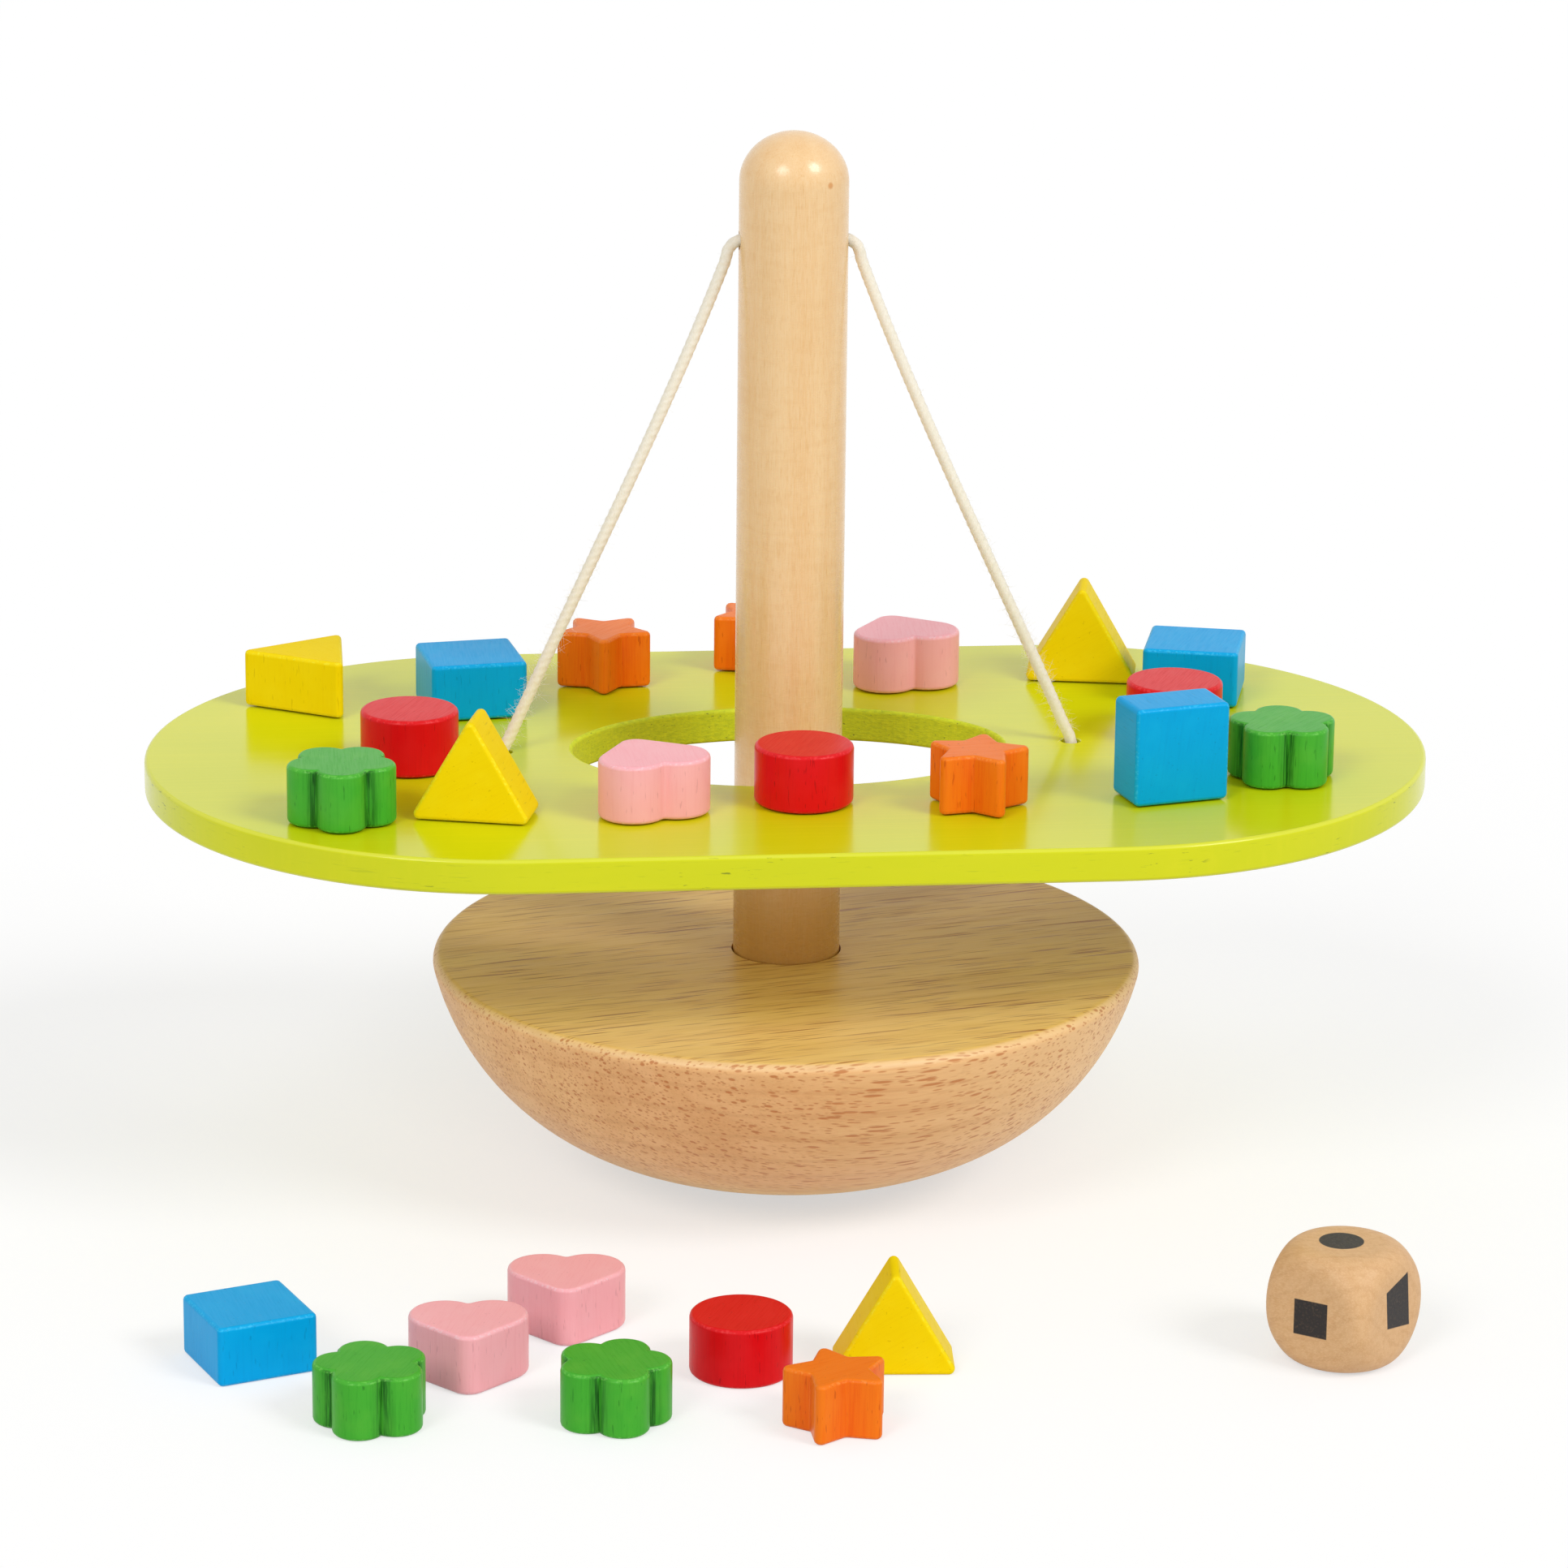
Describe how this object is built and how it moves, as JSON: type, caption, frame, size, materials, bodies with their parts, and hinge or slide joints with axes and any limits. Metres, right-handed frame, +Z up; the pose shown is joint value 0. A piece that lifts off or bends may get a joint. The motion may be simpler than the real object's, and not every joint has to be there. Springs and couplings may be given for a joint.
{
  "type": "balance seesaw game",
  "caption": "Wooden balancing toy: a round-ended painted deck hung by a cord from the mast of a rocking base, with loose shape blocks on the deck and table and a shape die",
  "frame": {"origin": "the small flat under the rocking base, where it touches the table", "axes": "+X along the deck to the right of the picture, +Y away from the viewer, +Z up along the mast"},
  "size_m": [0.2986, 0.2593, 0.2465],
  "materials": {
    "base_wood": "satin clear lacquer on a warm streaky hardwood",
    "mast_wood": "satin clear lacquer on a pale fine-grained wood",
    "die_wood": "sanded and lightly lacquered, with dark printed shapes",
    "lime_paint": "glossy lime paint on board",
    "cotton": "twisted undyed cotton",
    "red_paint": "satin red paint",
    "blue_paint": "satin blue paint with the grain showing",
    "yellow_paint": "satin yellow paint with the grain showing",
    "orange_paint": "satin orange paint",
    "pink_paint": "satin pink paint with the grain showing",
    "green_paint": "satin green paint, rough in the grooves"
  },
  "bodies": {
    "die": {"die": "die_wood"},
    "rocker": {"rocker_base": "base_wood", "mast": "mast_wood"},
    "cord": {"cord": "cotton"},
    "deck": {"deck": "lime_paint", "left_knot": "cotton", "right_knot": "cotton"},
    "red_cylinder_1": {"red_cylinder_1": "red_paint"},
    "red_cylinder_2": {"red_cylinder_2": "red_paint"},
    "red_cylinder_3": {"red_cylinder_3": "red_paint"},
    "red_cylinder_4": {"red_cylinder_4": "red_paint"},
    "blue_square_1": {"blue_square_1": "blue_paint"},
    "blue_square_2": {"blue_square_2": "blue_paint"},
    "blue_square_3": {"blue_square_3": "blue_paint"},
    "blue_square_4": {"blue_square_4": "blue_paint"},
    "yellow_triangle_1": {"yellow_triangle_1": "yellow_paint"},
    "yellow_triangle_2": {"yellow_triangle_2": "yellow_paint"},
    "yellow_triangle_3": {"yellow_triangle_3": "yellow_paint"},
    "yellow_triangle_4": {"yellow_triangle_4": "yellow_paint"},
    "orange_star_1": {"orange_star_1": "orange_paint"},
    "orange_star_2": {"orange_star_2": "orange_paint"},
    "orange_star_3": {"orange_star_3": "orange_paint"},
    "orange_star_4": {"orange_star_4": "orange_paint"},
    "pink_heart_1": {"pink_heart_1": "pink_paint"},
    "pink_heart_2": {"pink_heart_2": "pink_paint"},
    "pink_heart_3": {"pink_heart_3": "pink_paint"},
    "pink_heart_4": {"pink_heart_4": "pink_paint"},
    "green_flower_1": {"green_flower_1": "green_paint"},
    "green_flower_2": {"green_flower_2": "green_paint"},
    "green_flower_3": {"green_flower_3": "green_paint"},
    "green_flower_4": {"green_flower_4": "green_paint"}
  },
  "joints": [
    {"name": "rocker_tilt", "type": "hinge", "parent": "die", "child": "rocker", "pos_m": [0, 0, 0.14984], "axis": [0, 1, 0], "range_deg": [-15, 15]},
    {"name": "cord_swing", "type": "hinge", "parent": "rocker", "child": "cord", "pos_m": [0, 0, 0.2215], "axis": [1, 0, 0], "range_deg": [-5, 5]},
    {"name": "deck_seesaw", "type": "hinge", "parent": "cord", "child": "deck", "pos_m": [0, 0, 0.2215], "axis": [0, 1, 0], "range_deg": [-12, 12], "deforming": ["cord"]},
    {"name": "lift_yellow_triangle_1", "type": "slide", "parent": "deck", "child": "yellow_triangle_1", "axis": [0, 0, 1], "range_m": [0, 0.04]},
    {"name": "lift_blue_square_1", "type": "slide", "parent": "deck", "child": "blue_square_1", "axis": [0, 0, 1], "range_m": [0, 0.04]},
    {"name": "lift_orange_star_1", "type": "slide", "parent": "deck", "child": "orange_star_1", "axis": [0, 0, 1], "range_m": [0, 0.04]},
    {"name": "lift_orange_star_2", "type": "slide", "parent": "deck", "child": "orange_star_2", "axis": [0, 0, 1], "range_m": [0, 0.04]},
    {"name": "lift_pink_heart_1", "type": "slide", "parent": "deck", "child": "pink_heart_1", "axis": [0, 0, 1], "range_m": [0, 0.04]},
    {"name": "lift_yellow_triangle_2", "type": "slide", "parent": "deck", "child": "yellow_triangle_2", "axis": [0, 0, 1], "range_m": [0, 0.04]},
    {"name": "lift_blue_square_2", "type": "slide", "parent": "deck", "child": "blue_square_2", "axis": [0, 0, 1], "range_m": [0, 0.04]},
    {"name": "lift_red_cylinder_1", "type": "slide", "parent": "deck", "child": "red_cylinder_1", "axis": [0, 0, 1], "range_m": [0, 0.04]},
    {"name": "lift_blue_square_3", "type": "slide", "parent": "deck", "child": "blue_square_3", "axis": [0, 0, 1], "range_m": [0, 0.04]},
    {"name": "lift_green_flower_1", "type": "slide", "parent": "deck", "child": "green_flower_1", "axis": [0, 0, 1], "range_m": [0, 0.04]},
    {"name": "lift_orange_star_3", "type": "slide", "parent": "deck", "child": "orange_star_3", "axis": [0, 0, 1], "range_m": [0, 0.04]},
    {"name": "lift_red_cylinder_2", "type": "slide", "parent": "deck", "child": "red_cylinder_2", "axis": [0, 0, 1], "range_m": [0, 0.04]},
    {"name": "lift_pink_heart_2", "type": "slide", "parent": "deck", "child": "pink_heart_2", "axis": [0, 0, 1], "range_m": [0, 0.04]},
    {"name": "lift_yellow_triangle_3", "type": "slide", "parent": "deck", "child": "yellow_triangle_3", "axis": [0, 0, 1], "range_m": [0, 0.04]},
    {"name": "lift_red_cylinder_3", "type": "slide", "parent": "deck", "child": "red_cylinder_3", "axis": [0, 0, 1], "range_m": [0, 0.04]},
    {"name": "lift_green_flower_2", "type": "slide", "parent": "deck", "child": "green_flower_2", "axis": [0, 0, 1], "range_m": [0, 0.04]},
    {"name": "lift_blue_square_4", "type": "slide", "parent": "die", "child": "blue_square_4", "axis": [0, 0, 1], "range_m": [0, 0.04]},
    {"name": "lift_green_flower_3", "type": "slide", "parent": "die", "child": "green_flower_3", "axis": [0, 0, 1], "range_m": [0, 0.04]},
    {"name": "lift_pink_heart_3", "type": "slide", "parent": "die", "child": "pink_heart_3", "axis": [0, 0, 1], "range_m": [0, 0.04]},
    {"name": "lift_pink_heart_4", "type": "slide", "parent": "die", "child": "pink_heart_4", "axis": [0, 0, 1], "range_m": [0, 0.04]},
    {"name": "lift_green_flower_4", "type": "slide", "parent": "die", "child": "green_flower_4", "axis": [0, 0, 1], "range_m": [0, 0.04]},
    {"name": "lift_red_cylinder_4", "type": "slide", "parent": "die", "child": "red_cylinder_4", "axis": [0, 0, 1], "range_m": [0, 0.04]},
    {"name": "lift_orange_star_4", "type": "slide", "parent": "die", "child": "orange_star_4", "axis": [0, 0, 1], "range_m": [0, 0.04]},
    {"name": "lift_yellow_triangle_4", "type": "slide", "parent": "die", "child": "yellow_triangle_4", "axis": [0, 0, 1], "range_m": [0, 0.04]}
  ]
}
